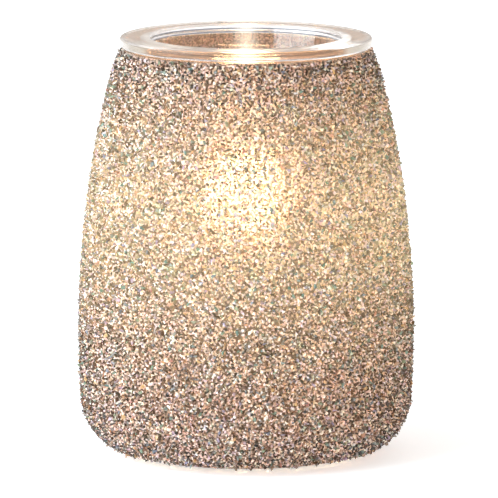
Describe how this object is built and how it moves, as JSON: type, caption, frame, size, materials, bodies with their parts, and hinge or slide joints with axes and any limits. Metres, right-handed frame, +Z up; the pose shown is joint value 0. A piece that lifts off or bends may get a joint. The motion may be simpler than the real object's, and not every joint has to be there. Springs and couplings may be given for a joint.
{
  "type": "wax warmer",
  "caption": "Electric wax warmer: tapered glass shade coated in crushed glass, lit from inside by a small lamp, under a lift-off clear glass wax dish.",
  "frame": {"origin": "middle of the ring of feet, on the surface it stands on", "axes": "+Z up through the lamp to the dish, -Y towards the front, +Y towards the cord inlet at the back"},
  "size_m": [0.1444, 0.1444, 0.1804],
  "materials": {
    "clear_glass": "clear pressed glass, polished",
    "shade_glass": "clear glass with a faint rose tint",
    "crushed_glass": "rose and champagne crushed glass bonded to the shade",
    "lamp_glass": "clear lamp glass",
    "black_glass": "opaque black glass",
    "white_plastic": "heat-resistant moulding, satin",
    "black_plastic": "fine-textured moulding",
    "phenolic": "moulded phenolic",
    "black_rubber": "moulded rubber",
    "silicone": "translucent silicone",
    "zinc_steel": "bright zinc plate",
    "brass": "drawn brass",
    "nickel_wire": "drawn nickel wire",
    "tungsten": "glowing coil",
    "solder": "soft solder"
  },
  "bodies": {
    "warmer": {"glass_shade": "shade_glass", "crystal_coating": "crushed_glass", "cord_grommet": "black_rubber", "base_cover": "black_plastic", "lower_gasket": "silicone", "upper_gasket": "silicone", "lamp_plate": "zinc_steel", "rubber_foot_1": "black_rubber", "rubber_foot_2": "black_rubber", "rubber_foot_3": "black_rubber", "rubber_foot_4": "black_rubber", "clamp_screws": "zinc_steel", "clamp_nuts": "zinc_steel", "socket_stand": "white_plastic", "stand_screws": "zinc_steel", "socket_body": "phenolic", "socket_side_screws": "zinc_steel", "socket_screw_shell": "brass", "socket_centre_contact": "brass", "line_terminal": "brass", "neutral_terminal": "brass", "terminal_screws": "zinc_steel", "contact_rivets": "brass"},
    "dish": {"wax_dish": "clear_glass"},
    "lamp_tip": {"bulb_tip_contact": "solder"},
    "lamp": {"bulb_glass": "lamp_glass", "bulb_stem": "lamp_glass", "bulb_lead_left": "nickel_wire", "bulb_lead_right": "nickel_wire", "bulb_filament": "tungsten", "bulb_cap_shell": "brass", "bulb_cap_insulator": "black_glass"}
  },
  "joints": [
    {"name": "dish_lift", "type": "slide", "parent": "warmer", "child": "dish", "axis": [0, 0, 1], "range_m": [0, 0.06]},
    {"name": "bulb_lift", "type": "slide", "parent": "warmer", "child": "lamp_tip", "axis": [0, 0, 1], "range_m": [0, 0.0102]},
    {"name": "bulb_turn", "type": "hinge", "parent": "lamp_tip", "child": "lamp", "pos_m": [0, 0, 0.07], "axis": [0, 0, 1], "range_deg": [0, 1440]}
  ],
  "couplings": [
    {"joint": "bulb_lift", "follows": "bulb_turn", "m_per_rad": 0.00040425}
  ]
}
